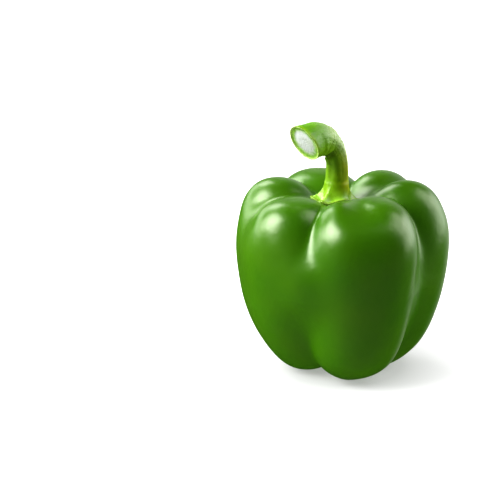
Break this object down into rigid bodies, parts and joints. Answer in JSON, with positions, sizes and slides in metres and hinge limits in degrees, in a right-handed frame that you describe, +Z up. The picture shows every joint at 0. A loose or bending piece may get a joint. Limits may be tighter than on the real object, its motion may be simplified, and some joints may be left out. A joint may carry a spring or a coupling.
{
  "type": "bell pepper",
  "caption": "Green bell pepper standing upright: a blocky, deeply lobed glossy fruit with a bent, cut stem on a pointed calyx.",
  "frame": {"origin": "centre of the bounding box in X and Y, on the surface that the pepper stands on", "axes": "+Z up along the fruit towards its stem, -Y towards the picture's viewer, +X to the viewer's right"},
  "size_m": [0.0891, 0.0868, 0.108],
  "materials": {
    "skin": "smooth waxy deep green skin",
    "stem": "ridged light green stem with a pale cut end"
  },
  "bodies": {
    "root": {"fruit": "skin", "stem_and_calyx": "stem"}
  },
  "joints": []
}
